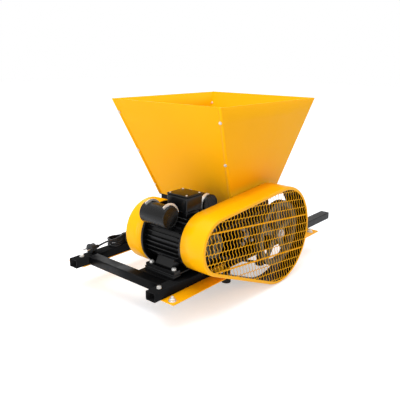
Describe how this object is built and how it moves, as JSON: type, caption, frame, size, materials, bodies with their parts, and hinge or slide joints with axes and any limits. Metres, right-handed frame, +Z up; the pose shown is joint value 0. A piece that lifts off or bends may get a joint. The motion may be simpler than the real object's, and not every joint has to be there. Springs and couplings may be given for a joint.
{
  "type": "grape crusher",
  "caption": "Motor-driven grape crusher: tapered hopper over fluted rollers, belt drive under a mesh guard, on a tube frame.",
  "frame": {"origin": "on the ground, below the middle of the machine's box without its cord", "axes": "+X along the frame tubes away from the motor, +Y along the roller shafts away from the belt guard, +Z up"},
  "size_m": [1.105, 0.565, 0.6538],
  "materials": {
    "tube_paint": "satin black paint",
    "body_paint": "gloss signal yellow paint",
    "hopper_paint": "gloss signal yellow paint",
    "guard_paint": "gloss signal yellow paint",
    "zinc": "zinc plated",
    "rubber": "matte",
    "belt": "matte rubber and cloth",
    "sheet_steel": "bare stainless sheet",
    "cast_housing": "painted casting",
    "bearing_steel": "ground",
    "roller_iron": "machined casting",
    "shaft_steel": "turned",
    "gear_steel": "oiled",
    "pulley_iron": "machined casting",
    "motor_paint": "gloss black paint",
    "core_steel": "stacked laminations",
    "fan_plastic": "moulded",
    "capacitor_plastic": "moulded",
    "cord": "moulded"
  },
  "bodies": {
    "machine": {"frame_tube_near": "tube_paint", "frame_tube_far": "tube_paint", "frame_cross_tube": "tube_paint", "motor_plate": "tube_paint", "base_strip_near": "body_paint", "base_strip_far": "body_paint", "strip_bolts": "zinc", "frame_bolts": "zinc", "roller_plate_near": "tube_paint", "roller_plate_far": "tube_paint", "end_plate_motor_side": "tube_paint", "end_plate_outer": "tube_paint", "deflector_motor_side": "sheet_steel", "deflector_outer": "sheet_steel", "legs": "tube_paint", "rubber_feet": "rubber", "hopper_panel_motor_side": "hopper_paint", "hopper_panel_near": "hopper_paint", "hopper_panel_outer": "hopper_paint", "hopper_panel_far": "hopper_paint", "hopper_seam_bolts": "zinc", "hopper_foot_bolts": "zinc", "bearing_housings": "cast_housing", "shaft_bearings": "bearing_steel", "bearing_bolts": "zinc", "gear_cover": "body_paint", "gear_cover_screws": "zinc", "v_belt": "belt", "guard_band": "guard_paint", "guard_lip": "guard_paint", "guard_mesh": "guard_paint", "guard_bars": "guard_paint", "guard_tabs": "body_paint", "motor_base": "motor_paint", "motor_feet": "motor_paint", "motor_housing": "motor_paint", "stator_core": "core_steel", "end_shields": "motor_paint", "motor_bearings": "bearing_steel", "fan_cowl": "guard_paint", "terminal_box": "motor_paint", "terminal_box_lid": "motor_paint", "capacitor_covers": "capacitor_plastic", "capacitor_saddles": "zinc", "motor_bolts": "zinc", "cable_gland": "capacitor_plastic", "power_cord": "cord", "cord_hank": "cord", "power_plug": "cord"},
    "drive_roller": {"roller_a": "roller_iron", "shaft_a": "shaft_steel", "gear_a": "gear_steel", "roller_pulley": "pulley_iron", "pulley_nut": "zinc"},
    "second_roller": {"roller_b": "roller_iron", "shaft_b": "shaft_steel", "gear_b": "gear_steel"},
    "motor_spindle": {"motor_rotor": "shaft_steel", "motor_pulley": "pulley_iron", "cooling_fan": "fan_plastic"}
  },
  "joints": [
    {"name": "roller_spin", "type": "hinge", "parent": "machine", "child": "drive_roller", "pos_m": [0.027, 0.0245, 0.177], "axis": [0, 1, 0], "continuous": true},
    {"name": "second_roller_spin", "type": "hinge", "parent": "machine", "child": "second_roller", "pos_m": [-0.065, 0.0245, 0.177], "axis": [0, 1, 0], "continuous": true},
    {"name": "motor_spin", "type": "hinge", "parent": "machine", "child": "motor_spindle", "pos_m": [-0.3525, -0.1255, 0.233], "axis": [0, 1, 0], "continuous": true}
  ],
  "couplings": [
    {"joint": "second_roller_spin", "follows": "roller_spin", "ratio": -1},
    {"joint": "motor_spin", "follows": "roller_spin", "ratio": 3.4706}
  ]
}
